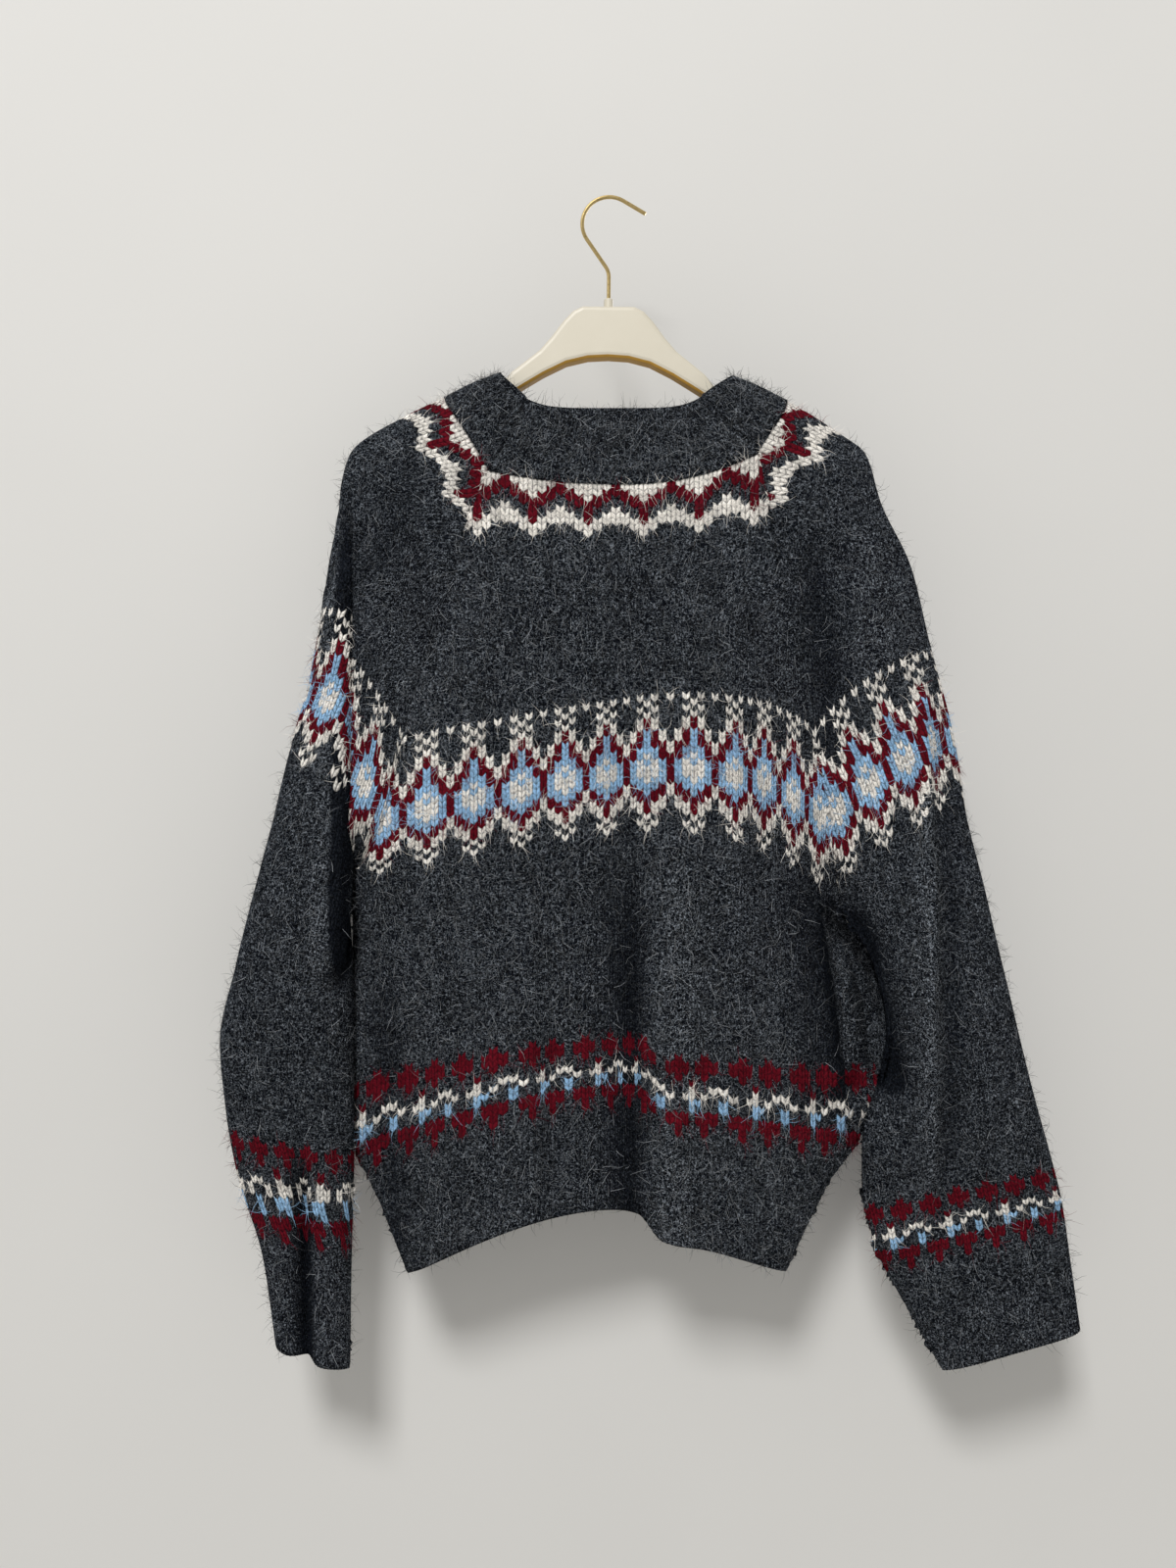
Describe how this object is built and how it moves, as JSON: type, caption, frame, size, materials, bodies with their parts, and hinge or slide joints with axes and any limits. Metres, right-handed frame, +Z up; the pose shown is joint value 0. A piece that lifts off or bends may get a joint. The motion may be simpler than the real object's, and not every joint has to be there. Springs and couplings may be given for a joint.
{
  "type": "knitted cardigan on a hanger",
  "caption": "Loose raglan cardigan knitted with coloured bands round yoke, hem and cuffs, hanging flat on a moulded shop hanger with a wire hook.",
  "frame": {"origin": "inner top of the hanger's hook, where it hangs on a rail", "axes": "+Z up, the garment's back faces -Y and its front +Y, the wearer's left is at -X"},
  "size_m": [0.7226, 0.0984, 0.9948],
  "materials": {
    "knitted_wool": "brushed knitted wool with a long nap",
    "button_plastic": "satin turned plastic",
    "hanger_plastic": "smooth moulded plastic",
    "hook_wire": "polished plated wire"
  },
  "bodies": {
    "root": {"back": "knitted_wool", "front_left": "knitted_wool", "front_right": "knitted_wool", "sleeve_left": "knitted_wool", "sleeve_right": "knitted_wool", "neckband": "knitted_wool", "front_band_left": "knitted_wool", "front_band_right": "knitted_wool", "button_1": "button_plastic", "button_2": "button_plastic", "button_3": "button_plastic", "button_4": "button_plastic", "button_5": "button_plastic", "button_6": "button_plastic", "hanger_body": "hanger_plastic", "hanger_boss": "hanger_plastic", "hanger_hook": "hook_wire"}
  },
  "joints": []
}
